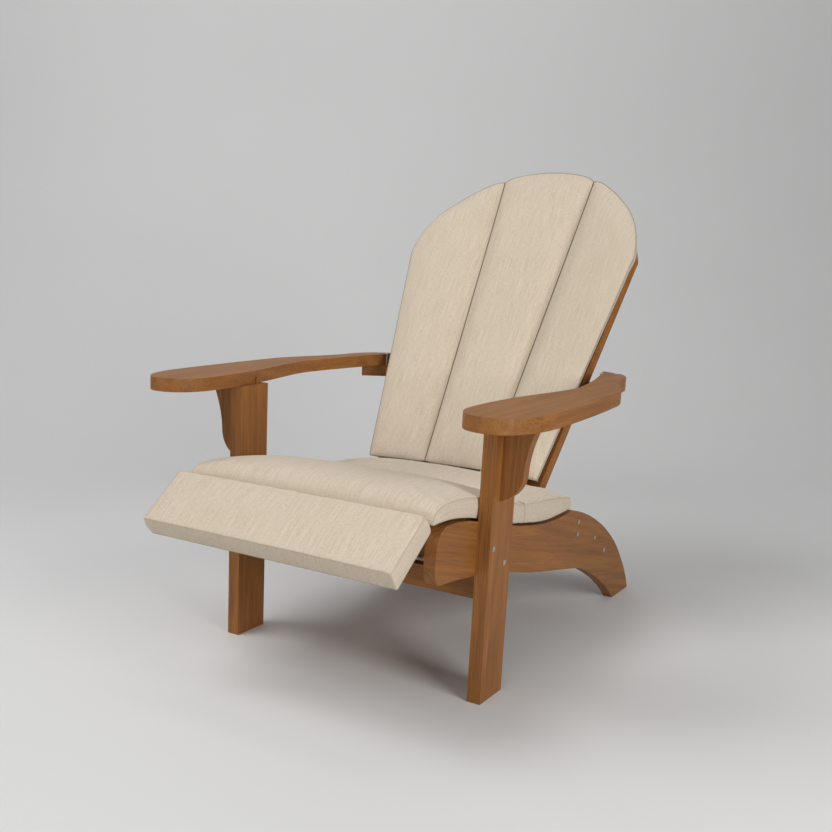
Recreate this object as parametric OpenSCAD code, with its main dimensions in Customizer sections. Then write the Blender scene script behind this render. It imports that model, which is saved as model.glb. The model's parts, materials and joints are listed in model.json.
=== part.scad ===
// Adirondack chair with a fan back, paddle arms and loose cushions.
// Lengths are in millimetres. X is across the chair, the front faces -Y, +Z is up.
// The shapes are drawn with Y = 0 on the front face of the front legs; place() then
// moves them so that the origin lies on the floor below the middle of the chair.

/* [Boards] */
// Thickness of the front legs and the arms
board_t = 25.4; // [22:0.2:28]
// Thickness of the two stringers
stringer_t = 21; // [18:0.5:24]
// Thickness of the back slats
slat_t = 20; // [16:0.5:22]
// Thickness of the seat slats
seat_slat_t = 18; // [14:0.5:20]

/* [Frame] */
// Half of the width over the outer faces of the front legs
leg_outer_x = 282.3; // [270:0.5:300]
// Depth of a front leg from front to back
leg_depth = 86.5; // [76:0.5:96]
// Height of the underside of the arms
arm_under_z = 508; // [495:1:520]
// Thickness of the rail under the rear ends of the arms
arm_rail_t = 25; // [20:1:28]

/* [Back] */
// Lean of the back from the vertical, in degrees
lean = 33.2; // [32.8:0.1:33.6]
// Radius of the hollow curve that the slats' faces follow
back_r = 844.5; // [830:0.5:860]
// Gap between neighbouring back slats at arm height
slat_gap = 10; // [8:0.5:12]
// Width of a back slat at arm height
slat_w = 79; // [76:0.5:80]

/* [Seat] */
// Width of a seat slat
seat_slat_w = 49; // [44:1:50]

/* [Cushions] */
// Half of the width of the seat cushion
cushion_x = 255.5; // [250:0.5:256]
// Thickness of the back cushion
back_cushion_t = 38; // [30:1:44]
// Thickness of the front flap of the seat cushion
flap_t = 40; // [34:1:42]
// Length of the front flap of the seat cushion
flap_len = 119; // [100:1:124]

/* [Hidden] */

wood = "#9a6236";
fabric = "#d8c9ae";
steel = "#c4c6c8";
curve_steps = 10;
far = 400;

foot_tip_y = 842;

leg_inner_x = leg_outer_x - board_t;
stringer_inner_x = leg_inner_x - stringer_t;
arm_top_z = arm_under_z + board_t;

// Back frame: its z runs up the slats and its y square to them, towards the rear.
// At y = 0 lie the outer edges of the slats' front faces.
back_foot = [333.7, 200];
edge_half = 234;
edge_angle = asin(edge_half / back_r);
mid_up = 355;
slat_below = 349;
slat_above = 520;
pitch_angle = 2 * asin((slat_w + slat_gap) / 2 / back_r);
fan_step = 2.41;
taper = 0.021;
slat_arch_r = 262;
slat_arch_z = 604;
slat_depth = back_r * (1 - cos(edge_angle));

// The whole chair reaches from the flap's lower edge to the top of the middle back slat.
slat_tip_y = back_foot[0] + (slat_arch_z + slat_arch_r) * sin(lean)
    + (slat_depth + slat_t) * cos(lean);
flap_tip_y = -282.5;
mid_y = (slat_tip_y + flap_tip_y) / 2;

// The rear faces of the arm rail and of the arms' ends lie on one arc.
rail_centre_y = 70;
rail_rear_r = 570;
rail_front = [90, 511];
rail_half = 297;

flap_hinge = [-161, 346];
flap_tilt = 35.4;
mid_hinge = [205, 321];

function bezier(a, b, c, d) = [
    for (i = [0:curve_steps - 1])
        let (t = i / curve_steps, u = 1 - t)
            u * u * u * a + 3 * u * u * t * b + 3 * u * t * t * c + t * t * t * d
];
// The seat's curve, and past t = 1 the straight line that carries it on to the back.
function seat_point(t) = let (u = 1 - min(t, 1), v = min(t, 1))
    u * u * u * [-104, 343] + 3 * u * u * v * [0, 341]
    + 3 * u * v * v * [110, 288] + v * v * v * [290, 265.5]
    + max(t - 1, 0) * 3 * [180, -22.5];
// The t at a given distance along that curve.
function seat_run(s, t = 0) = s <= 0 ? t
    : seat_run(s - norm(seat_point(t + 0.005) - seat_point(t)), t + 0.005);
function seat_angle(t) = let (
    p = seat_point(t - 0.01),
    q = seat_point(t + 0.01)
) atan2(q[1] - p[1], q[0] - p[0]);
function arc_y(r, x) = rail_centre_y + sqrt(r * r - x * x);

module place() {
    translate([0, -mid_y, 0]) children();
}

module mirrored(side) {
    mirror([side < 0 ? 1 : 0, 0, 0]) children();
}

// Extrudes a (y, z) outline across the chair from x0 to x1.
module across(x0, x1) {
    translate([x0, 0, 0]) rotate([90, 0, 90]) linear_extrude(x1 - x0) children();
}

module stringer_outline() {
    polygon(concat(
        bezier([-148, 285], [-148, 322], [-138, 344], [-104, 343]),
        bezier([-104, 343], [0, 341], [110, 288], [290, 265.5]),
        bezier([290, 265.5], [345, 258.6], [404, 260.5], [440, 264]),
        bezier([440, 264], [560, 238], [700, 170], [770, 94]),
        bezier([770, 94], [806, 58], [830, 28], [foot_tip_y, 0]),
        [[foot_tip_y, 0]],
        bezier([740, 0], [722, 18], [650, 72], [514, 124]),
        bezier([514, 124], [400, 150], [250, 172], [120, 210]),
        bezier([120, 210], [60, 224], [-60, 242], [-130, 246]),
        bezier([-130, 246], [-142, 248], [-148, 262], [-148, 285])
    ));
}

module stringer(side) {
    color(wood) difference() {
        mirrored(side) across(stringer_inner_x, leg_inner_x) stringer_outline();
        at_leg_screws() bore(big_screw_r, 40);
        at_stringer_screws() bore(big_screw_r, 50);
    }
}

module front_leg(side) {
    color(wood) difference() {
        mirrored(side) translate([leg_inner_x, 0, 0]) cube([board_t, leg_depth, arm_under_z]);
        at_leg_screws() bore(big_screw_r, 40);
        at_corbel_dowels() dowel_bore();
        at_arm_dowels() dowel_bore();
        at_stretcher_dowels() dowel_bore();
    }
}

// Bracket under the outside of an arm, set on the middle of the leg's outer face.
corbel_y = 24;
corbel_t = 22;
module corbel(side) {
    color(wood) difference() {
        mirrored(side) translate([leg_outer_x, corbel_y + corbel_t, 0])
            rotate([90, 0, 0]) linear_extrude(corbel_t) polygon(concat(
                [[0, arm_under_z], [0, 363]],
                bezier([0, 363], [20, 368], [39, 386], [40, 412]),
                bezier([40, 412], [41, 448], [50, 472], [64, arm_under_z]),
                [[64, arm_under_z]]
            ));
        at_corbel_dowels() dowel_bore();
    }
}

// Paddle-shaped arm, wide in front and narrow where it meets the rear rail.
module arm_outline() {
    intersection() {
        polygon(concat(
            bezier([264, -60], [263, -116], [286, -155], [331, -156]),
            bezier([331, -156], [370, -156], [394, -106], [396, -34]),
            bezier([396, -34], [397, 60], [391, 200], [382, 288]),
            bezier([382, 288], [372, 350], [334, 400], [325, 462]),
            bezier([325, 462], [323, 500], [320, 522], [290, 562]),
            [[290, 562], [262, 600], [246, 600], [246, 575]],
            bezier([246, 575], [270, 500], [296, 380], [304, 300]),
            bezier([304, 300], [310, 210], [262, 120], [264, -60])
        ));
        translate([0, rail_centre_y]) circle(r = rail_rear_r, $fn = 96);
    }
}

module arm(side) {
    color(wood) difference() {
        mirrored(side) translate([0, 0, arm_under_z]) linear_extrude(board_t) arm_outline();
        at_arm_screws() bore(big_screw_r, 42);
        at_arm_dowels() dowel_bore();
    }
}

// Rail between the front legs, under the seat.
stretcher_y = 40;
stretcher_t = 22;
module front_stretcher() {
    color(wood) difference() {
        translate([-leg_inner_x, stretcher_y, 176]) cube([2 * leg_inner_x, stretcher_t, 42]);
        at_stretcher_dowels() dowel_bore();
    }
}

// Room that the back slats need in the two rails behind them.
module back_hollow(play) {
    in_back_frame() translate([0, -back_r * cos(edge_angle), -60])
        cylinder(r = back_r + slat_t + play, h = 700, $fn = 96);
}

// Curved board that carries the arms' rear ends and the back slats.
rail_notch = 223;
module arm_rail() {
    color(wood) difference() {
        translate([0, 0, arm_under_z - arm_rail_t]) linear_extrude(arm_rail_t)
            intersection() {
                translate([0, rail_centre_y]) circle(r = rail_rear_r - 5, $fn = 96);
                translate([-rail_half, 300]) square([2 * rail_half, far]);
            }
        translate([0, rail_front[0], 400]) cylinder(r = rail_front[1], h = 200, $fn = 96);
        intersection() {
            back_hollow(2.2);
            translate([-rail_notch, 300, 400]) cube([2 * rail_notch, far, 200]);
        }
        at_arm_screws() bore(big_screw_r, 42);
        at_back_slat_screws() bore(small_screw_r, 36);
    }
}

// Thick board between the stringers behind the slats' lower ends.
low_rail_z = [196, 240];
low_rail_front = 370;
low_rail_rear = 494;
module lower_back_rail() {
    color(wood) difference() {
        translate([-stringer_inner_x, low_rail_front, low_rail_z[0]])
            cube([2 * stringer_inner_x, low_rail_rear - low_rail_front, low_rail_z[1] - low_rail_z[0]]);
        back_hollow(4);
        at_stringer_screws() bore(big_screw_r, 50);
        at_back_slat_screws() bore(small_screw_r, 36);
    }
}

// Flat board between the stringers, above the rear feet.
rear_board = [621, 153];
rear_board_tilt = -32.7;
module rear_stretcher() {
    color(wood) difference() {
        translate([-stringer_inner_x, rear_board[0], rear_board[1]])
            rotate([rear_board_tilt, 0, 0]) translate([0, -52, -11])
                cube([2 * stringer_inner_x, 104, 22]);
        at_stringer_screws() bore(big_screw_r, 50);
    }
}

// Seat slats lie between the stringers, each square to the seat's curve.
slat_proud = 3;
seat_slats = 9;
seat_pitch = 54;
function slat_t_at(i) = seat_run(26 + seat_pitch * (i - 1));
module seat_slat(i) {
    t = slat_t_at(i);
    p = seat_point(t);
    color(wood) difference() {
        translate([-stringer_inner_x, p[0], p[1]]) rotate([seat_angle(t), 0, 0])
            translate([0, -seat_slat_w / 2, slat_proud - seat_slat_t])
                cube([2 * stringer_inner_x, seat_slat_w, seat_slat_t]);
        at_seat_slat_screws(i) bore(small_screw_r, 32);
    }
}

// Batten on the inside of a stringer that the seat slats are screwed down to.
cleat_w = 22;
cleat_h = 22;
module seat_cleat(side) {
    top = [for (t = [0.04:0.12:1.13])
        seat_point(t) + (slat_proud - seat_slat_t - 0.8) * [-sin(seat_angle(t)), cos(seat_angle(t))]];
    low = [for (i = [len(top) - 1:-1:0]) top[i] - [0, cleat_h]];
    color(wood) difference() {
        mirrored(side) across(stringer_inner_x - cleat_w, stringer_inner_x)
            polygon(concat(top, low));
        for (i = [1:seat_slats]) at_seat_slat_screws(i) bore(small_screw_r, 32);
    }
}

module in_back_frame() {
    translate([0, back_foot[0], back_foot[1]]) rotate([-lean, 0, 0]) children();
}

// Region under the fan's rounded top.
module below_arch(r, z) {
    translate([0, -200, z]) rotate([-90, 0, 0]) cylinder(r = r, h = 500, $fn = 96);
    translate([-far, -200, -100]) cube([2 * far, 500, z + 150]);
}

module on_slat(k) {
    a = k * pitch_angle;
    translate([back_r * sin(a), back_r * (cos(a) - cos(edge_angle)), mid_up])
        rotate([0, 0, -a]) rotate([0, k * fan_step, 0]) children();
}

// Tapered back slat; k counts from the middle one, -2 to 2.
module back_slat(k) {
    low_half = slat_w / 2 - taper * slat_below;
    top_half = slat_w / 2 + taper * slat_above;
    color(wood) difference() {
        in_back_frame() intersection() {
            on_slat(k) translate([0, slat_t, 0]) rotate([90, 0, 0]) linear_extrude(slat_t)
                polygon([[-low_half, -slat_below], [low_half, -slat_below],
                    [top_half, slat_above], [-top_half, slat_above]]);
            below_arch(slat_arch_r, slat_arch_z);
        }
        at_back_slat_screws() bore(small_screw_r, 36);
    }
}

// Stainless screw along -Z with its low round head on Z = 0.
big_screw_r = 2.2;
small_screw_r = 1.8;
module screw(shank_r, length) {
    color(steel) {
        translate([0, 0, -length]) cylinder(r = shank_r, h = length, $fn = 24);
        cylinder(r = 2.3 * shank_r, h = 0.7, $fn = 32);
    }
}
module bore(shank_r, length) {
    translate([0, 0, -length - 0.5]) cylinder(r = shank_r + 0.05, h = length + 1.5, $fn = 24);
}

// Hidden beech dowel, centred on the joint it holds, along Z.
dowel_r = 4;
dowel_len = 24;
module dowel() {
    color("#c9a877") translate([0, 0, -dowel_len / 2]) cylinder(r = dowel_r, h = dowel_len, $fn = 24);
}
module dowel_bore() {
    translate([0, 0, -dowel_len / 2 - 0.5])
        cylinder(r = dowel_r + 0.05, h = dowel_len + 1, $fn = 24);
}

module at_side(x, points) {
    for (side = [-1, 1], p = points)
        mirrored(side) translate([x, p[0], p[1]]) rotate([0, 90, 0]) children();
}
module at_leg_screws() {
    at_side(leg_outer_x, [[14, 281], [62, 246]]) children();
}
// Two screws in each end of the lower back rail and two in each end of the rear stretcher.
module at_stringer_screws() {
    at_side(leg_inner_x, [[482, 231], [483, 205], [588, 175], [655, 132]]) children();
}
module at_corbel_dowels() {
    at_side(leg_outer_x, [[corbel_y + corbel_t / 2, 388], [corbel_y + corbel_t / 2, 470]]) children();
}
module at_stretcher_dowels() {
    at_side(leg_inner_x, [[stretcher_y + stretcher_t / 2, 187],
        [stretcher_y + stretcher_t / 2, 207]]) children();
}
module at_arm_dowels() {
    for (side = [-1, 1], y = [20, 66])
        mirrored(side) translate([leg_inner_x + board_t / 2, y, arm_under_z]) children();
}
module at_arm_screws() {
    for (side = [-1, 1], p = [[255, 545], [282, 555]])
        mirrored(side) translate([p[0], p[1], arm_top_z]) children();
}
module at_seat_slat_screws(i) {
    t = slat_t_at(i);
    p = seat_point(t);
    for (side = [-1, 1], off = [-0.25, 0.25])
        mirrored(side) translate([stringer_inner_x - cleat_w / 2, p[0], p[1]])
            rotate([seat_angle(t), 0, 0]) translate([0, off * seat_slat_w, slat_proud]) children();
}
// Height up a back slat at which its screws meet the middle of a rail at height z.
function screw_up(k, z) = (z - back_foot[1]
    + (back_r * (cos(k * pitch_angle) - cos(edge_angle)) + slat_t + 8) * sin(lean)) / cos(lean) - mid_up;
module at_back_slat_screws() {
    for (k = [-2:2], z = [arm_under_z - arm_rail_t / 2, 218], off = [-0.2, 0.2])
        in_back_frame() on_slat(k) translate([off * slat_w, 0, screw_up(k, z)])
            rotate([90, 0, 0]) children();
}

module dowels() {
    at_corbel_dowels() dowel();
    at_stretcher_dowels() dowel();
    at_arm_dowels() dowel();
}
module leg_screws() {
    at_leg_screws() screw(big_screw_r, 40);
}
module stringer_screws() {
    at_stringer_screws() screw(big_screw_r, 50);
}
module arm_screws() {
    at_arm_screws() screw(big_screw_r, 42);
}
module seat_slat_screws() {
    for (i = [1:seat_slats]) at_seat_slat_screws(i) screw(small_screw_r, 32);
}
module back_slat_screws() {
    at_back_slat_screws() screw(small_screw_r, 36);
}

// Fan-shaped cushion that follows the hollow of the back.
cushion_gap = 1.5;
cushion_foot = 138;
cushion_arch_r = 265;
cushion_arch_z = 632;
module back_cushion() {
    centre_y = -back_r * cos(edge_angle);
    color(fabric) in_back_frame() intersection() {
        translate([0, centre_y, cushion_foot]) difference() {
            cylinder(r = back_r - cushion_gap, h = 800, $fn = 96);
            translate([0, 0, -1]) cylinder(r = back_r - cushion_gap - back_cushion_t, h = 802, $fn = 96);
        }
        translate([0, 200, 0]) rotate([90, 0, 0]) linear_extrude(300)
            polygon([[-197, cushion_foot], [197, cushion_foot], [264, 655], [264, 950],
                [-264, 950], [-264, 655]]);
        below_arch(cushion_arch_r, cushion_arch_z);
    }
}

// The rear pad reaches back beside the slats, and is pressed in where it meets them.
rear_pad_mid_y = 374;
rear_pad_end_y = 436;
rear_pad_notch_x = 208;
module seat_cushion_rear() {
    color(fabric) difference() {
        across(-cushion_x, cushion_x)
            polygon([[mid_hinge[0] + 1, 318.5], [240, 325], [320, 326], [374, 320], [430, 295],
                [rear_pad_end_y, 290], [rear_pad_end_y, 268.5], [402, 266.5], [345, 265.5],
                [304, 268.2], [260, 274.1], [mid_hinge[0] + 3, 282.9]]);
        translate([-rear_pad_notch_x, rear_pad_mid_y, 200]) cube([2 * rear_pad_notch_x, 100, 200]);
    }
}

module seat_cushion_mid() {
    color(fabric) across(-cushion_x, cushion_x)
        polygon([[-157, 351], [-152, 368], [-132, 380], [-100, 386], [-40, 384], [70, 365],
            [140, 344], [mid_hinge[0] - 2, 319.5], [mid_hinge[0] - 1, 285.6], [155, 296.2],
            [100, 309.8], [47, 323.6], [-10, 337.5], [-60, 347.2], [-104, 350.5]]);
}

// Flap in front of the legs, hinged at the lower front edge of the seat cushion.
module seat_cushion_flap() {
    color(fabric) across(-cushion_x, cushion_x) translate(flap_hinge) rotate(flap_tilt)
        translate([-4.5 - flap_len, -4]) square([flap_len, flap_t]);
}

// Sewn welts that join the three parts of the seat cushion.
module welt(point) {
    color(fabric) translate([-cushion_x, point[0], point[1]]) rotate([0, 90, 0])
        cylinder(r = 1.5, h = 2 * cushion_x, $fn = 24);
}

module mid_hinge_welt() {
    welt(mid_hinge);
}

module flap_hinge_welt() {
    welt(flap_hinge);
}

place() stringer(1);  // left_stringer
place() stringer(-1);  // right_stringer
place() front_leg(1);  // left_front_leg
place() front_leg(-1);  // right_front_leg
place() corbel(1);  // left_corbel
place() corbel(-1);  // right_corbel
place() arm(1);  // left_arm
place() arm(-1);  // right_arm
place() front_stretcher();
place() lower_back_rail();
place() rear_stretcher();
place() arm_rail();
place() seat_cleat(1);  // left_seat_cleat
place() seat_cleat(-1);  // right_seat_cleat
for (i = [1:seat_slats])
    place() seat_slat(i);
for (k = [-2:2])
    place() back_slat(k);
place() dowels();
place() leg_screws();
place() stringer_screws();
place() arm_screws();
place() seat_slat_screws();
place() back_slat_screws();
place() back_cushion();
place() seat_cushion_rear();
place() seat_cushion_mid();
place() seat_cushion_flap();
place() mid_hinge_welt();
place() flap_hinge_welt();
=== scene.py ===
import json
import math

import bmesh
import bpy
import numpy as np
from mathutils import Matrix, Vector
from mathutils.kdtree import KDTree


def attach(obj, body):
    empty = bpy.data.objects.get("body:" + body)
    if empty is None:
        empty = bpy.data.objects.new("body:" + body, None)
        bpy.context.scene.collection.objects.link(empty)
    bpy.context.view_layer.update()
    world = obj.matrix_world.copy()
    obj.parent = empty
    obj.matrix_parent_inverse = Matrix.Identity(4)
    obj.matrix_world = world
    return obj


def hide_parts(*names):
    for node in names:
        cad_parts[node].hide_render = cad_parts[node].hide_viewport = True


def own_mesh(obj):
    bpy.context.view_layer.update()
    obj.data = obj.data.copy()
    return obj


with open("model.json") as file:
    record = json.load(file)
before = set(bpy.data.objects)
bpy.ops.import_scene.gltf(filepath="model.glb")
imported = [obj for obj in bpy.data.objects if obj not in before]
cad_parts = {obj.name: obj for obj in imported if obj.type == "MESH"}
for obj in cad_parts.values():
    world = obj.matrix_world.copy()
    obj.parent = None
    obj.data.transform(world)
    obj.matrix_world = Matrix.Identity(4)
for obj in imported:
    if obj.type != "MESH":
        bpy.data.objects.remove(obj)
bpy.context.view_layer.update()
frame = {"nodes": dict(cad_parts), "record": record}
scene = bpy.context.scene
QUARTER = math.pi / 2

# Lengths along the chair are shifted by MID_Y, so that the floor point below its middle is the
# origin. The back is hollow: part of a cylinder of radius BACK_R that leans back by LEAN and
# stands on BACK_FOOT.
MID_Y = 0.2849
LEAN = math.radians(33.2)
BACK_R = 0.8445
EDGE_ANGLE = math.asin(0.234 / BACK_R)
BACK_FOOT = Vector((0, 0.3337 - MID_Y, 0.2))


# ---------------------------------------------------------------- node helpers
class Nodes:
    """A material's node tree, with short calls for the nodes used here."""

    def __init__(self, name):
        self.mat = bpy.data.materials.new(name)
        self.mat.use_nodes = True
        self.tree = self.mat.node_tree
        self.tree.nodes.clear()

    def new(self, kind, **props):
        n = self.tree.nodes.new(kind)
        for k, v in props.items():
            setattr(n, k, v)
        return n

    def put(self, socket, value):
        if isinstance(value, bpy.types.NodeSocket):
            self.tree.links.new(value, socket)
        elif value is not None:
            socket.default_value = value

    def math(self, op, a, b=None, c=None):
        n = self.new("ShaderNodeMath", operation=op)
        for i, v in enumerate((a, b, c)):
            self.put(n.inputs[i], v)
        return n.outputs[0]

    def noise(self, vector, detail=2, rough=0.5, distortion=0.0):
        n = self.new("ShaderNodeTexNoise")
        self.put(n.inputs["Vector"], vector)
        n.inputs["Scale"].default_value = 1.0
        n.inputs["Detail"].default_value = detail
        n.inputs["Roughness"].default_value = rough
        n.inputs["Distortion"].default_value = distortion
        return n.outputs["Fac"]

    def mapping(self, vector, scale=(1, 1, 1), rotation=(0, 0, 0)):
        n = self.new("ShaderNodeMapping")
        self.put(n.inputs["Vector"], vector)
        self.put(n.inputs["Scale"], scale)
        self.put(n.inputs["Rotation"], rotation)
        return n.outputs[0]

    def ramp(self, fac, stops):
        n = self.new("ShaderNodeValToRGB")
        self.put(n.inputs[0], fac)
        e = n.color_ramp.elements
        while len(e) < len(stops):
            e.new(0.5)
        for item, (pos, col) in zip(e, stops):
            item.position = pos
            item.color = (*col, 1)
        return n.outputs[0]

    def span(self, value, lo, hi, to_lo=0.0, to_hi=1.0):
        n = self.new("ShaderNodeMapRange")
        for i, v in enumerate((value, lo, hi, to_lo, to_hi)):
            self.put(n.inputs[i], v)
        return n.outputs[0]

    def blend(self, fac, base, over):
        """Colour from the base socket towards the fixed colour over."""
        n = self.new("ShaderNodeMix", data_type="RGBA")
        self.put(n.inputs[0], fac)
        self.put(n.inputs[6], base)
        self.put(n.inputs[7], (*over, 1))
        return n.outputs[2]

    def finish(self, color, rough, height, bump=0.5, distance=0.001, **sockets):
        bsdf = self.new("ShaderNodeBsdfPrincipled")
        self.put(bsdf.inputs["Base Color"], color)
        self.put(bsdf.inputs["Roughness"], rough)
        for k, v in sockets.items():
            self.put(bsdf.inputs[k.replace("_", " ")], v)
        if height is not None:
            b = self.new("ShaderNodeBump")
            b.inputs["Strength"].default_value = bump
            b.inputs["Distance"].default_value = distance
            self.put(b.inputs["Height"], height)
            self.put(bsdf.inputs["Normal"], b.outputs[0])
        out = self.new("ShaderNodeOutputMaterial")
        self.tree.links.new(bsdf.outputs[0], out.inputs[0])
        return self.mat


def tinted(stops, tint):
    """Colour stops with each channel multiplied by its tint."""
    return [(pos, tuple(c * t for c, t in zip(color, tint))) for pos, color in stops]


TEAK = [(0.0, (0.180, 0.070, 0.016)), (0.4, (0.270, 0.106, 0.025)),
        (0.7, (0.340, 0.140, 0.034)), (1.0, (0.430, 0.190, 0.050))]
PORE_COLOR = (0.120, 0.046, 0.013)
CLOTH = [(0.0, (0.560, 0.458, 0.345)), (0.45, (0.672, 0.572, 0.446)), (1.0, (0.755, 0.665, 0.545))]
WEAVE_PITCH = 0.0013


def wood(name, rotation, bright=1.0):
    """Oiled teak with straight fine grain along the texture's own X after the rotation."""
    m = Nodes(name)
    place = m.new("ShaderNodeTexCoord").outputs["Object"]
    rand = m.new("ShaderNodeObjectInfo").outputs["Random"]
    along = m.mapping(place, rotation=rotation)
    offset = m.new("ShaderNodeCombineXYZ")
    for axis, far in enumerate((7.3, 3.1, 5.7)):
        m.put(offset.inputs[axis], m.math("MULTIPLY", rand, far))
    moved = m.new("ShaderNodeVectorMath", operation="ADD")
    m.put(moved.inputs[0], along)
    m.put(moved.inputs[1], offset.outputs[0])
    p = moved.outputs[0]
    wide = m.noise(m.mapping(p, scale=(0.7, 9, 9)), distortion=0.15)
    rings = m.span(m.math("SINE", m.math("MULTIPLY", wide, 95.0)), -1, 1)
    bands = m.noise(m.mapping(p, scale=(1.6, 60, 60)), 3, 0.55)
    fibre = m.noise(m.mapping(p, scale=(8, 520, 520)), 3, 0.6)
    pores = m.noise(m.mapping(p, scale=(15, 640, 640)), 2, 0.55)
    pore = m.span(pores, 0.54, 0.70)
    cloud = m.noise(m.mapping(p, scale=(3.0, 5.0, 5.0)))
    tone = m.math("MULTIPLY_ADD", fibre, 0.46, m.math("MULTIPLY", rings, 0.08))
    for source, share in ((bands, 0.36), (cloud, 0.14), (rand, 0.08)):
        tone = m.math("MULTIPLY_ADD", source, share, tone)
    color = m.ramp(m.span(tone, 0.36, 0.80), tinted(TEAK, (bright,) * 3))
    color = m.blend(m.math("MULTIPLY", pore, 0.62), color, PORE_COLOR)
    rough = m.span(fibre, 0.3, 0.7, 0.44, 0.58)
    height = m.math("MULTIPLY_ADD", pore, -0.8, m.math("MULTIPLY", fibre, 0.7))
    return m.finish(color, rough, height, 0.25, 0.0005, Specular_IOR_Level=0.30)


def cloth(name, tint=(1.0, 1.0, 1.0)):
    """Woven outdoor cloth with slubs along the warp; u and v of the map are metres."""
    m = Nodes(name)
    uv = m.new("ShaderNodeUVMap", uv_map="cloth").outputs[0]
    slub = m.noise(m.mapping(uv, scale=(560, 16, 1)))
    fleck = m.noise(m.mapping(uv, scale=(1000, 110, 1)), 2, 0.6)
    cross = m.noise(m.mapping(uv, scale=(90, 800, 1)))
    cloud = m.noise(m.mapping(uv, scale=(9, 5, 1)))
    sep = m.new("ShaderNodeSeparateXYZ")
    m.put(sep.inputs[0], uv)
    pitch = 2 * math.pi / WEAVE_PITCH
    warp = m.math("SINE", m.math("MULTIPLY", sep.outputs[0], pitch))
    weft = m.math("SINE", m.math("MULTIPLY", sep.outputs[1], pitch))
    weave = m.math("MULTIPLY", warp, weft)
    tone = m.math("MULTIPLY_ADD", slub, 0.36, m.math("MULTIPLY", fleck, 0.30))
    for source, share in ((cross, 0.24), (cloud, 0.04), (weave, 0.03)):
        tone = m.math("MULTIPLY_ADD", source, share, tone)
    color = m.ramp(m.span(tone, 0.36, 0.62), tinted(CLOTH, tint))
    height = m.math("MULTIPLY_ADD", weave, 0.45, m.math("MULTIPLY", slub, 0.7))
    return m.finish(
        color, 0.88, height, 0.5, 0.0006,
        Specular_IOR_Level=0.22, Sheen_Weight=0.22, Sheen_Roughness=0.45,
    )


def speckle(m, scale, rough=0.5):
    """Fine even noise through the object, with the same scale in all directions."""
    place = m.new("ShaderNodeTexCoord").outputs["Object"]
    return m.noise(m.mapping(place, scale=(scale,) * 3), 2, rough)


def metal(name):
    m = Nodes(name)
    fine = speckle(m, 900)
    color = m.ramp(fine, [(0.3, (0.42, 0.42, 0.42)), (0.7, (0.66, 0.66, 0.65))])
    return m.finish(color, m.span(fine, 0.3, 0.7, 0.22, 0.38), fine, 0.1, 0.0002, Metallic=1.0)


# Speckled colour from dark to light. Used with near-black, it gives the back cushion's stitch cords, whose
# colour is painted shade of the seam grooves.
def seam_thread_and_shade(name, dark, light):
    m = Nodes(name)
    fine = speckle(m, 700, 0.6)
    color = m.ramp(fine, [(0.3, dark), (0.7, light)])
    return m.finish(color, 0.85, fine, 0.5, 0.0006)


MATERIALS = {
    "teak_cross": wood("teak_cross", (0, 0, 0)),
    "teak_long": wood("teak_long", (0, 0, QUARTER)),
    "teak_upright": wood("teak_upright", (0, QUARTER, 0)),
    "teak_back": wood("teak_back", (LEAN, QUARTER, 0), 1.06),
    "stainless": metal("stainless"),
    "dowel_beech": wood("dowel_beech", (0, 0, 0)),
}
SLOPING = wood("teak_sloping", (math.radians(15), 0, QUARTER))
FABRIC = cloth("cushion_fabric")
THREAD = seam_thread_and_shade("welt_fabric", (0.30, 0.27, 0.21), (0.46, 0.42, 0.33))
PIPING = cloth("piping_fabric", tint=(0.84, 0.82, 0.78))
# Near-black stitch colour: painted shade in the back cushion's seam grooves, laid on real stitch lines.
STITCH_AND_SHADE = seam_thread_and_shade("stitch_and_painted_shade", (0.10, 0.075, 0.045), (0.17, 0.13, 0.08))

# ---------------------------------------------------------------- CAD nodes
WOOD_ROUND, STEEL_ROUND = 0.0022, 0.0003
slot_of = {s["node"]: s["material_slot"] for s in frame["record"]["subparts"]}
for node, o in frame["nodes"].items():
    mesh = o.data
    mesh.materials.clear()
    slot = slot_of[node]
    mesh.materials.append(SLOPING if node.endswith("_stringer") else MATERIALS.get(slot, THREAD))
    for p in mesh.polygons:
        p.use_smooth = True
    if "custom_normal" in mesh.attributes:
        mesh.attributes.remove(mesh.attributes["custom_normal"])
    if slot.startswith("teak") or slot == "stainless":
        weld = o.modifiers.new("weld", "WELD")
        weld.merge_threshold = 0.00002
        bevel = o.modifiers.new("bevel", "BEVEL")
        bevel.width = WOOD_ROUND if slot.startswith("teak") else STEEL_ROUND
        bevel.segments = 3
        bevel.limit_method = "ANGLE"
        bevel.angle_limit = math.radians(32)
        normal = o.modifiers.new("normal", "WEIGHTED_NORMAL")
        normal.keep_sharp = False


# ---------------------------------------------------------------- mesh helpers
def new_object(name, verts, faces, material):
    mesh = bpy.data.meshes.new(name)
    mesh.from_pydata([tuple(v) for v in verts], [], faces)
    mesh.materials.append(material)
    mesh.polygons.foreach_set("use_smooth", [True] * len(mesh.polygons))
    o = bpy.data.objects.new(name, mesh)
    scene.collection.objects.link(o)
    return o


def soft_object(name, verts, faces, corners, material):
    """Object whose cloth map holds one (u, v) in metres for each corner of each face."""
    o = new_object(name, verts, faces, material)
    layer = o.data.uv_layers.new(name="cloth")
    layer.data.foreach_set("uv", np.array([c for f in corners for c in f], np.float32).ravel())
    bm = bmesh.new()
    bm.from_mesh(o.data)
    bmesh.ops.recalc_face_normals(bm, faces=bm.faces)
    bm.to_mesh(o.data)
    bm.free()
    return o


def coords(mesh):
    co = np.zeros(len(mesh.vertices) * 3)
    mesh.vertices.foreach_get("co", co)
    return co.reshape(-1, 3)


def arc_run(points):
    """Distance from the first point to each point along the line."""
    return np.concatenate([[0], np.cumsum(np.linalg.norm(np.diff(points, axis=0), axis=1))])


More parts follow.
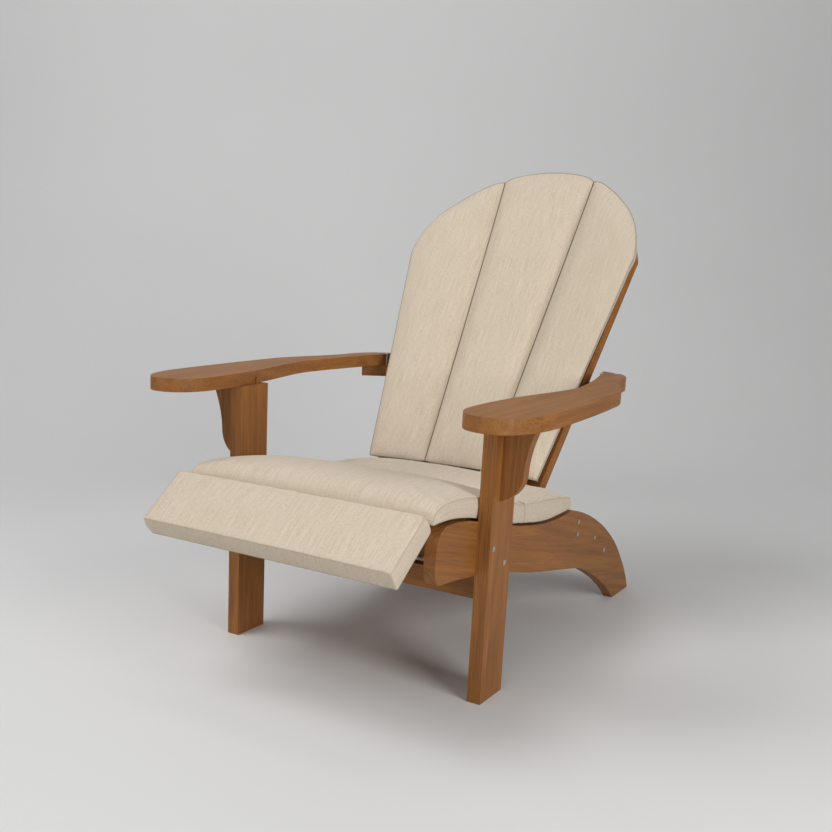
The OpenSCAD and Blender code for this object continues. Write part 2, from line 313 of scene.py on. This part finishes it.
def smooth_curve(points, count):
    """Catmull-Rom curve through the points, as count + 1 points evenly spaced along it."""
    p = np.array(points, float)
    p = np.vstack([2 * p[0] - p[1], p, 2 * p[-1] - p[-2]])
    out = []
    for k in range(1, len(p) - 2):
        for t in np.linspace(0, 1, 24, endpoint=False):
            q0, q1, q2, q3 = p[k - 1 : k + 3]
            out.append(
                0.5 * (2 * q1 + (q2 - q0) * t + (2 * q0 - 5 * q1 + 4 * q2 - q3) * t * t
                       + (3 * q1 - q0 - 3 * q2 + q3) * t**3)
            )
    out.append(p[-2])
    out = np.array(out)
    run = arc_run(out)
    at = np.linspace(0, run[-1], count + 1)
    return np.column_stack([np.interp(at, run, out[:, c]) for c in range(p.shape[1])])


def brick(pos, ii, jj, kk):
    """Closed pad as a six-sided grid. pos(a, b, c) gives a point; a runs along the warp, b across
    and c through the pad, each from 0 to 1. Returns verts, faces, (u, v) per corner and the
    index of each grid key (i, j, k)."""
    ids, verts, faces, corners = {}, [], [], []

    def vert(i, j, k):
        key = (i, j, k)
        if key not in ids:
            ids[key] = len(verts)
            verts.append(pos(ii[i], jj[j], kk[k]))
        return ids[key]

    def panel(key_of, n, m, flip):
        pts = np.array([[pos(*[steps[v] for steps, v in zip((ii, jj, kk), key_of(p, q))])
                         for q in range(m + 1)] for p in range(n + 1)], float)
        along = np.zeros((n + 1, m + 1))
        along[1:] = np.cumsum(np.linalg.norm(np.diff(pts, axis=0), axis=2), axis=0)
        across = np.zeros((n + 1, m + 1))
        across[:, 1:] = np.cumsum(np.linalg.norm(np.diff(pts, axis=1), axis=2), axis=1)
        along -= along.mean()
        across -= across[:, m // 2][:, None]
        for p in range(n):
            for q in range(m):
                ring = [(p, q), (p + 1, q), (p + 1, q + 1), (p, q + 1)]
                if flip:
                    ring.reverse()
                faces.append([vert(*key_of(*r)) for r in ring])
                corners.append([(across[r], along[r]) for r in ring])

    ni, nj, nk = len(ii) - 1, len(jj) - 1, len(kk) - 1
    panel(lambda p, q: (p, q, nk), ni, nj, True)
    panel(lambda p, q: (p, q, 0), ni, nj, False)
    panel(lambda p, q: (p, nj, q), ni, nk, True)
    panel(lambda p, q: (p, 0, q), ni, nk, False)
    panel(lambda p, q: (0, q, p), nk, nj, True)
    panel(lambda p, q: (ni, q, p), nk, nj, False)
    return verts, faces, corners, ids


def outline(ni, nj, k):
    """Grid keys once round the edge of a pad's layer k."""
    return ([(0, j, k) for j in range(nj)] + [(i, nj, k) for i in range(ni)]
            + [(ni, j, k) for j in range(nj, 0, -1)] + [(i, 0, k) for i in range(ni, 0, -1)])


def places(o, ids, keys):
    return [o.data.vertices[ids[key]].co.copy() for key in keys]


# ---------------------------------------------------------------- cloth helpers
PUFF_FRAMES, PUFF_PRESSURE, PUFF_CAP = 14, 3.0, 0.004


def puff(o, held):
    """Inflates the pad as cloth with the held vertices pinned, and keeps each move below the cap."""
    rest = coords(o.data)
    group = o.vertex_groups.new(name="held")
    group.add(sorted(held), 1.0, "REPLACE")
    mod = o.modifiers.new("cloth", "CLOTH")
    c = mod.settings
    c.quality = 5
    c.mass = 0.25
    c.tension_stiffness = c.compression_stiffness = 12
    c.shear_stiffness = 6
    c.bending_stiffness = 0.6
    c.vertex_group_mass = "held"
    c.pin_stiffness = 1.0
    c.use_pressure = True
    c.uniform_pressure_force = PUFF_PRESSURE
    c.effector_weights.gravity = 0
    mod.collision_settings.use_collision = False
    mod.collision_settings.use_self_collision = False
    mod.point_cache.frame_start, mod.point_cache.frame_end = 1, PUFF_FRAMES
    for frame_number in range(1, PUFF_FRAMES + 1):
        scene.frame_set(frame_number)
    done = o.evaluated_get(bpy.context.evaluated_depsgraph_get())
    end = coords(done.to_mesh())
    done.to_mesh_clear()
    o.modifiers.remove(mod)
    o.vertex_groups.remove(group)
    scene.frame_set(1)
    move = end - rest
    size = np.linalg.norm(move, axis=1, keepdims=True)
    move *= np.minimum(1, PUFF_CAP / np.maximum(size, 1e-9))
    o.data.vertices.foreach_set("co", (rest + move).ravel())
    o.data.update()


def subdivide(o):
    """Applies one level of subdivision to the pad's own mesh."""
    mod = o.modifiers.new("subdivision", "SUBSURF")
    mod.levels = mod.render_levels = 1
    mod.uv_smooth = "NONE"
    done = o.evaluated_get(bpy.context.evaluated_depsgraph_get())
    mesh = bpy.data.meshes.new_from_object(done)
    o.modifiers.remove(mod)
    o.data = mesh


def tube(name, path, radius, closed, material):
    """Round cord of fabric or thread along a path of points."""
    sides = 8
    p = np.array(path, float)
    n = len(p)
    if closed:
        tangent = np.roll(p, -1, 0) - np.roll(p, 1, 0)
    else:
        tangent = np.gradient(p, axis=0)
    tangent /= np.maximum(np.linalg.norm(tangent, axis=1, keepdims=True), 1e-9)
    verts, faces, corners = [], [], []
    normal = np.cross(tangent[0], (0.31, 0.27, 0.91))
    runs = arc_run(p)
    for k in range(n):
        normal = normal - tangent[k] * (normal @ tangent[k])
        normal /= np.linalg.norm(normal)
        side = np.cross(tangent[k], normal)
        for m in range(sides):
            w = 2 * math.pi * m / sides
            verts.append(p[k] + radius * (math.cos(w) * normal + math.sin(w) * side))
    wide = radius * 2 * math.pi / sides
    for k in range(n if closed else n - 1):
        q = (k + 1) % n
        end = runs[q] if q else runs[-1] + np.linalg.norm(p[0] - p[-1])
        for m in range(sides):
            r = (m + 1) % sides
            faces.append([k * sides + m, k * sides + r, q * sides + r, q * sides + m])
            corners.append([(m * wide, runs[k]), ((m + 1) * wide, runs[k]),
                            ((m + 1) * wide, end), (m * wide, end)])
    if not closed:
        faces += [list(range(sides)), list(range(n * sides - sides, n * sides))]
        corners += [[(0, 0)] * sides] * 2
    return soft_object(name, verts, faces, corners, material)


def nearest(o, points):
    """For each point, the place of the object's vertex that is nearest to it."""
    tree = KDTree(len(o.data.vertices))
    for v in o.data.vertices:
        tree.insert(v.co, v.index)
    tree.balance()
    return [tree.find(p)[0] for p in points]


def trim(name, path, radius, closed, material, body):
    o = tube(name, path, radius, closed, material)
    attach(o, body)
    return o


def finish_pad(o, body, node):
    subdivide(o)
    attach(o, body)
    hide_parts(node)


def flatten_ends(s, power):
    """Crown across a panel: 1 in the middle, 0 at s = -1 and 1."""
    return max(0.0, 1 - abs(s) ** power)


def fall(distance, reach):
    """1 at an edge, and close to 0 a few reaches away from it."""
    return math.exp(-distance / reach)


def unit(values):
    lo, hi = values[0], values[-1]
    return [(v - lo) / (hi - lo) for v in values]


def eased(count):
    """Fractions from 0 to 1 that are closer together near both ends."""
    turns = [math.pi * (0.06 + 0.88 * q / count) for q in range(count + 1)]
    return unit([0.5 - 0.5 * math.cos(w) for w in turns])


# Wrinkles: a sum of sines with drawn phases, so that no two seams pucker alike.
rng = np.random.default_rng(7)


def ripple(waves):
    table = [(rng.uniform(*waves), rng.uniform(0, 6.28), rng.uniform(0.5, 1)) for _ in range(5)]
    return lambda t: sum(a * math.sin(2 * math.pi * t / w + ph) for w, ph, a in table) / 3


# ---------------------------------------------------------------- back cushion
# A fan in three channels. f runs across it from -1 to 1, t up it and c forwards from the slats.
SEAM_F, SEAM_BAND = 0.368, 0.02
BOTTOM_W, SHOULDER_W, ARCH_R, ARCH_UP = 0.199, 0.2637, 0.2635, 0.6335
BOTTOM_UP = 0.148
SIDE_SLOPE = (SHOULDER_W - BOTTOM_W) / 0.5
MEAN_W = 0.24
BACK_GAP, BACK_DEPTH = 0.0015, 0.0305
CHANNEL_CROWN = 0.0125
SEAM_SINK = 0.0085
RIM_TUCK = 0.015
CHANNEL_STEPS, UP_STEPS = 16, 84


def back_point(x, up, depth):
    """Point of the hollow back: x across, up along the slats, depth in front of them."""
    r = BACK_R - depth
    y = math.sqrt(max(r * r - x * x, 1e-9)) - BACK_R * math.cos(EDGE_ANGLE)
    c, s = math.cos(LEAN), math.sin(LEAN)
    return (x, BACK_FOOT.y + y * c + up * s, BACK_FOOT.z + up * c - y * s)


def half_width(up):
    return BOTTOM_W + SIDE_SLOPE * (up - 0.15)


def seam_notch(f):
    """How strongly the seam pulls at the cushion's edge: 1 at a seam."""
    return math.exp(-(((abs(f) - SEAM_F) / 0.035) ** 2))


def arch_top(f):
    """Height of the rounded top at f, found by halving, with a notch at each seam."""
    lo, hi = 0.60, 0.91
    for _ in range(40):
        mid = (lo + hi) / 2
        inside = (f * half_width(mid)) ** 2 + max(mid - ARCH_UP, 0) ** 2 < ARCH_R**2
        lo, hi = (mid, hi) if inside else (lo, mid)
    notch = 0.0040 * seam_notch(f)
    if abs(f) < SEAM_F:
        return lo - notch + 0.002 * (1 - (f / SEAM_F) ** 2)
    return lo - notch - 0.0065 * math.sin(math.pi * (abs(f) - SEAM_F) / (1 - SEAM_F)) ** 2


def across_channel(f):
    """Place across the channel that f lies in, from -1 to 1."""
    if f <= -SEAM_F:
        return (f + 1) / (1 - SEAM_F) * 2 - 1
    if f >= SEAM_F:
        return (f - SEAM_F) / (1 - SEAM_F) * 2 - 1
    return f / SEAM_F


channel = eased(CHANNEL_STEPS)
fractions = []
for left, right in ((-1, -SEAM_F), (-SEAM_F, SEAM_F), (SEAM_F, 1)):
    fractions += [left + (right - left) * t for t in channel[:-1]]
fractions.append(1.0)
ups = unit([q / UP_STEPS - 0.012 * math.sin(2 * math.pi * q / UP_STEPS) for q in range(UP_STEPS + 1)])
seam_ripples = [ripple((0.018, 0.05)) for _ in range(8)]


def back_pos(t, f, c):
    low = BOTTOM_UP - 0.014 * f * f + 0.003 * seam_notch(f)
    top = arch_top(f)
    up = low + (top - low) * t
    x = f * half_width(up)
    crown = flatten_ends(across_channel(f), 3.2) ** 0.62
    ends = flatten_ends(2 * t - 1, 9) ** 0.5
    on_seam = max(0.0, 1 - abs(abs(f) - SEAM_F) / SEAM_BAND)
    depth = BACK_DEPTH + CHANNEL_CROWN * crown * ends
    depth -= SEAM_SINK * on_seam * (0.35 + 0.65 * ends)
    near = fall(min(abs(f - SEAM_F), abs(f + SEAM_F)) * MEAN_W, 0.011)
    depth += 0.0011 * near * seam_ripples[0 if f < 0 else 1](up) * (1 - on_seam)
    edge = fall((1 - abs(f)) * MEAN_W, 0.010)
    outer = min(1.0, (1 - abs(f)) / 0.05)
    depth += 0.0010 * edge * seam_ripples[2 if f < 0 else 3](up) * outer
    rim = fall(top - up, 0.014) + fall(up - low, 0.014)
    depth += 0.0012 * rim * seam_ripples[4](x) * ends
    tuck = RIM_TUCK * (1 - c) ** 1.4
    if abs(f) == 1:
        x -= math.copysign(tuck, f)
    if t == 1:
        up -= tuck
    if t == 0:
        up += tuck
    if c == 0:
        x *= 1 - RIM_TUCK / half_width(up) * (abs(f) < 1)
        up += (0.5 - t) * 2 * RIM_TUCK * (0 < t < 1)
    return back_point(x, up, BACK_GAP + depth * c)


def back_cushion():
    layers = [0, 0.25, 0.5, 0.75, 1.0]
    verts, faces, corners, ids = brick(back_pos, ups, fractions, layers)
    pad = soft_object("back_cushion_cover", verts, faces, corners, FABRIC)
    n_up, n_f, front = len(ups) - 1, len(fractions) - 1, len(layers) - 1
    rim_keys = outline(n_up, n_f, front)
    seam_keys = [[(i, j, front) for i in range(n_up + 1)] for j in (CHANNEL_STEPS, 2 * CHANNEL_STEPS)]
    held = {ids[key] for key in rim_keys + seam_keys[0] + seam_keys[1]}
    held |= {v for key, v in ids.items() if key[2] == 0}
    puff(pad, held)
    rim_points = places(pad, ids, rim_keys)
    seam_points = [places(pad, ids, keys) for keys in seam_keys]
    finish_pad(pad, "back_pad", "back_cushion")
    trim("back_cushion_piping", nearest(pad, rim_points), 0.0016, True, THREAD, "back_pad")
    # Cords along the two channel seams: real stitch lines, coloured near-black as painted shade of the
    # seam grooves.
    for side, points in zip(("right", "left"), seam_points):
        trim("back_cushion_stitch_" + side, nearest(pad, points), 0.0015, False, STITCH_AND_SHADE,
             "back_pad")


back_cushion()

# ---------------------------------------------------------------- seat cushion
# Three boxed pads, each crowned across and joined to the next along a crease. Outlines are (y, z)
# before the shift by MID_Y, front to rear; the flap runs from its hinge along its own tilt.
PAD_X = 0.2525
MID_TOP = [(-0.1530, 0.3570), (-0.1490, 0.3670), (-0.1380, 0.3745), (-0.1200, 0.3785), (-0.0900, 0.3795),
           (-0.0500, 0.3770), (-0.0100, 0.3715), (0.0700, 0.3560), (0.1400, 0.3365), (0.2030, 0.3190)]
MID_LOW = [(-0.1530, 0.3515), (-0.1040, 0.3500), (-0.0600, 0.3450), (-0.0100, 0.3350),
           (0.0470, 0.3210), (0.1000, 0.3070), (0.1550, 0.2935), (0.2030, 0.2835)]
REAR_TOP = [(0.2070, 0.3190), (0.2600, 0.3135), (0.3200, 0.3080), (0.3850, 0.3000), (0.4360, 0.2905)]
REAR_LOW = [(0.2070, 0.2830), (0.2600, 0.2745), (0.3040, 0.2690), (0.3450, 0.2665),
            (0.4020, 0.2665), (0.4360, 0.2680)]
REAR_END, WING_END, WING_X, WING_EASE = 0.383, 0.436, 0.197, 0.014
MID_HINGE = (0.205, 0.321)
FLAP_HINGE, FLAP_TILT = (-0.161, 0.346), math.radians(35.4)
FLAP_NEAR, FLAP_FAR, FLAP_UNDER, FLAP_OVER = -0.0020, -0.1235, -0.0050, 0.0345
CELL, CELLS_ACROSS = 0.008, 60
CROWN_FADE, EDGE_REACH, EDGE_LIFT = 0.016, 0.010, 0.0035


def rear_end(x):
    """How far back the rear pad reaches: it is pressed in where it meets the slats."""
    t = min(1.0, max(0.0, (abs(x) - WING_X) / WING_EASE))
    return REAR_END + (WING_END - REAR_END) * t * t * (3 - 2 * t)


def seat_pad(name, node, body, base, length, crown, ends, wrinkle=1.0):
    """base(a, x, c) gives (y, z) before the crown; a runs front to rear and c upwards.
    ends is how much of the crown is left at the front and at the rear edge."""
    aa, bb = eased(max(10, round(length / CELL))), eased(CELLS_ACROSS)
    cc = [0, 0.2, 0.5, 0.8, 1.0]
    along_front, along_side, round_rim = ripple((0.03, 0.09)), ripple((0.03, 0.08)), ripple((0.02, 0.05))
    dimple = ripple((0.09, 0.2))

    def pos(a, b, c):
        s = 2 * b - 1
        x = s * PAD_X
        y, z = base(a, x, c)
        across = flatten_ends(s, 2.4) ** 0.75
        from_side = fall((1 - abs(s)) * PAD_X, EDGE_REACH)
        soft = 1 - from_side
        front, rear = a * length, (1 - a) * length
        near = min(front, rear)
        left = 1 - (1 - ends[0]) * fall(front, CROWN_FADE)
        left *= 1 - (1 - ends[1]) * fall(rear, CROWN_FADE)
        rim = fall(near, EDGE_REACH) + from_side
        if c == 1:
            z += crown * across * left + EDGE_LIFT * soft * (1 - fall(near, 0.007))
            z += wrinkle * 0.0010 * rim * round_rim(x + 3 * y) * soft
            z += wrinkle * 0.0010 * dimple(x) * dimple(y + 0.3 * x) * across
        if 0 < c < 1:
            z += crown * across * left * c
        bulge = math.sin(math.pi * c) ** 0.8
        if abs(s) == 1:
            x += s * (0.0028 * bulge + 0.0008 * along_side(y + 2 * z) * bulge)
        if a == 0 or a == 1:
            y += (2 * a - 1) * (0.0020 * bulge + 0.0007 * along_front(x) * bulge) * (ends[a == 1] < 0.9)
        return (x, y - MID_Y, z)

    verts, faces, corners, ids = brick(pos, aa, bb, cc)
    pad = soft_object(name, verts, faces, corners, FABRIC)
    ni, nj, nk = len(aa) - 1, len(bb) - 1, len(cc) - 1
    loops = {"top": outline(ni, nj, nk), "low": outline(ni, nj, 0)}
    held = {ids[key] for key in loops["top"]} | {v for key, v in ids.items() if key[2] == 0}
    puff(pad, held)
    loops = {which: places(pad, ids, keys) for which, keys in loops.items()}
    finish_pad(pad, body, node)
    return [pad] + [
        trim(name + "_piping_" + which, nearest(pad, points), 0.0009, True, PIPING, body)
        for which, points in loops.items()
    ]


mid_top, mid_low = smooth_curve(MID_TOP, 90), smooth_curve(MID_LOW, 60)
rear_top, rear_low = smooth_curve(REAR_TOP, 60), smooth_curve(REAR_LOW, 60)
roll = arc_run(mid_top)
roll /= roll[-1]


def mid_base(a, x, c):
    y, hi = np.interp(a, roll, mid_top[:, 0]), np.interp(a, roll, mid_top[:, 1])
    under = mid_top[0, 0] + (mid_top[-1, 0] - mid_top[0, 0]) * a
    y = under + (y - under) * c
    lo = np.interp(y, mid_low[:, 0], mid_low[:, 1])
    return y, lo + (hi - lo) * c


def rear_base(a, x, c):
    y = rear_top[0, 0] + (rear_end(x) - rear_top[0, 0]) * a
    hi = np.interp(y, rear_top[:, 0], rear_top[:, 1])
    lo = np.interp(y, rear_low[:, 0], rear_low[:, 1])
    swell = max(0.0, 1 - (abs(x) / 0.225) ** 4) * math.sin(math.pi * a * 0.84) * 0.015
    return y, lo + (hi + swell - lo) * c


def flap_base(a, x, c):
    run = FLAP_FAR + (FLAP_NEAR - FLAP_FAR) * a
    over = FLAP_UNDER + (FLAP_OVER - FLAP_UNDER) * c
    cs, sn = math.cos(FLAP_TILT), math.sin(FLAP_TILT)
    return FLAP_HINGE[0] + run * cs - over * sn, FLAP_HINGE[1] + run * sn + over * cs


def hinge_welt(node, body, at):
    """Sewn roll of cloth along a crease, which swells and pinches a little between its stitches."""
    swell, sway = ripple((0.02, 0.06)), ripple((0.03, 0.09))
    xs = np.linspace(-PAD_X + 0.0012, PAD_X - 0.0012, 170)
    path = [(x, at[0] - MID_Y + 0.00025 * sway(x), at[1] + 0.0003 * swell(x)) for x in xs]
    o = trim(node + "_roll", path, 0.00125, False, THREAD, body)
    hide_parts(node)


rear_pieces = seat_pad("seat_cushion_rear_cover", "seat_cushion_rear", "seat_pad_rear", rear_base,
                       0.225, 0.015, (0.9, 0.3))
# Each rear piece gets its own copy of its mesh.
for piece in rear_pieces:
    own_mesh(piece)
seat_pad("seat_cushion_mid_cover", "seat_cushion_mid", "seat_pad_mid", mid_base, 0.37, 0.0120, (0.35, 0.9))
seat_pad("seat_cushion_flap_cover", "seat_cushion_flap", "seat_pad_flap", flap_base,
         0.1215, 0.003, (0.4, 0.4), 0.6)
hinge_welt("mid_hinge_welt", "seat_pad_rear", MID_HINGE)
hinge_welt("flap_hinge_welt", "seat_pad_mid", FLAP_HINGE)


# ---------------------------------------------------------------- studio
def look_matrix(azimuth, down, roll_angle):
    """Rotation of a camera turned by the azimuth, tipped down and rolled."""
    flat = math.cos(down)
    forward = Vector((-math.sin(azimuth) * flat, math.cos(azimuth) * flat, -math.sin(down)))
    right = Vector((math.cos(azimuth), math.sin(azimuth), 0))
    up = right.cross(forward)
    c, s = math.cos(roll_angle), math.sin(roll_angle)
    x = right * c + up * s
    y = up * c - right * s
    z = -forward
    return Matrix(((x.x, y.x, z.x), (x.y, y.y, z.y), (x.z, y.z, z.z)))


cam_data = bpy.data.cameras.new("camera")
cam = bpy.data.objects.new("camera", cam_data)
scene.collection.objects.link(cam)
cam_data.sensor_width = 36.0
cam_data.lens = 46.71
cam_data.shift_x = 0.1662
cam_data.shift_y = 0.0856
rot = look_matrix(math.radians(35.955), math.radians(12.923), math.radians(1.266)).to_4x4()
cam.matrix_world = Matrix.Translation((1.0225, -1.6365 - MID_Y, 0.7872)) @ rot
scene.camera = cam


def backdrop():
    """Plain paper floor that sweeps up into a wall far behind the chair."""
    half, near, far, radius, top, bends = 9.0, -6.0, 3.2, 1.8, 6.0, 16
    profile = [(near, 0.0), (far - radius, 0.0)]
    for i in range(1, bends + 1):
        a = i / bends * QUARTER
        profile.append((far - radius + radius * math.sin(a), radius - radius * math.cos(a)))
    profile.append((far, top))
    verts = [(x, y, z) for y, z in profile for x in (-half, half)]
    faces = [(2 * i, 2 * i + 1, 2 * i + 3, 2 * i + 2) for i in range(len(profile) - 1)]
    m = Nodes("studio_paper")
    color = m.ramp(speckle(m, 1.2), [(0.2, (0.725, 0.725, 0.726)), (0.8, (0.750, 0.750, 0.752))])
    o = new_object("backdrop", verts, faces, m.finish(color, 0.75, None, Specular_IOR_Level=0.2))
    o.rotation_euler = (0, 0, math.radians(36))
    return o


backdrop()


def area_light(name, location, target, size, power, color=(1, 1, 1)):
    data = bpy.data.lights.new(name, "AREA")
    data.shape = "RECTANGLE"
    data.size, data.size_y = size
    data.energy = power
    data.color = color
    o = bpy.data.objects.new(name, data)
    scene.collection.objects.link(o)
    o.location = location
    o.rotation_mode = "QUATERNION"
    o.rotation_quaternion = (Vector(target) - Vector(location)).to_track_quat("-Z", "Y")


area_light("key", (-1.5, -1.6, 3.3), (0, 0, 0.4), (1.8, 1.8), 60)
area_light("fill", (3.2, -1.3, 1.5), (0, 0, 0.4), (1.7, 1.7), 70, (1.0, 0.99, 0.97))
area_light("low", (-0.8, -4.2, 0.7), (0, 0, 0.3), (2.4, 1.0), 9)
area_light("floor", (0.3, -3.6, 3.4), (0.3, -3.2, 0.0), (3.0, 2.0), 52)
area_light("wall", (-0.6, 0.6, 4.4), (-1.0, 3.2, 2.6), (3.0, 1.5), 34)
world = bpy.data.worlds.new("studio")
world.use_nodes = True
background = world.node_tree.nodes["Background"]
background.inputs[0].default_value = (0.80, 0.805, 0.81, 1)
background.inputs[1].default_value = 0.13
scene.world = world
scene.view_settings.view_transform = "Standard"
